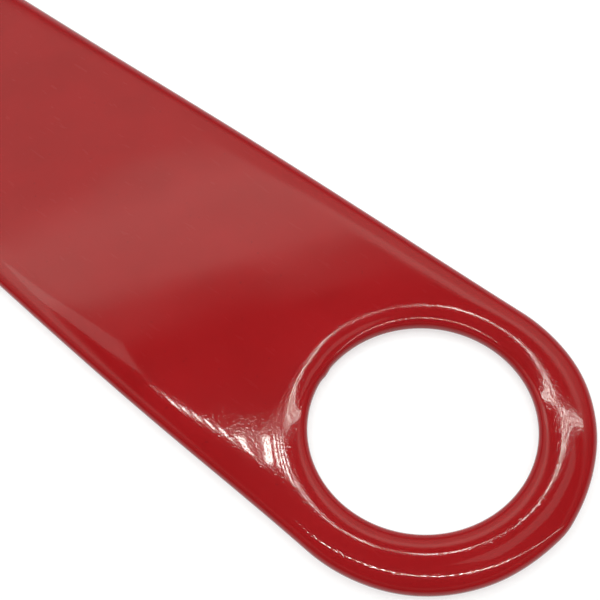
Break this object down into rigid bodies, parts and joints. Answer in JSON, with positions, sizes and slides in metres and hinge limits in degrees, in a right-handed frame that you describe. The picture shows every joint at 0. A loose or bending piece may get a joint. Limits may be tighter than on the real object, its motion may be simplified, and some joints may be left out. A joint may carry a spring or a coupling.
{
  "type": "hive tool",
  "caption": "Flat hive tool: a steel bar with a flared, bevelled chisel blade and a nail puller, and a vinyl-dipped handle that ends in a large ring hole.",
  "frame": {"origin": "centre of the ring hole, at the middle of the bar's thickness", "axes": "+X along the bar from the ring end to the cutting edge, +Y across the bar, +Z square to the flat faces, on the side where the bevel is ground"},
  "size_m": [0.251, 0.046, 0.0028],
  "materials": {
    "blade_steel": "satin, tumbled flats with a freshly ground bevel",
    "grip_vinyl": "gloss plastisol dip"
  },
  "bodies": {
    "root": {"steel_blade": "blade_steel", "vinyl_grip": "grip_vinyl"}
  },
  "joints": []
}
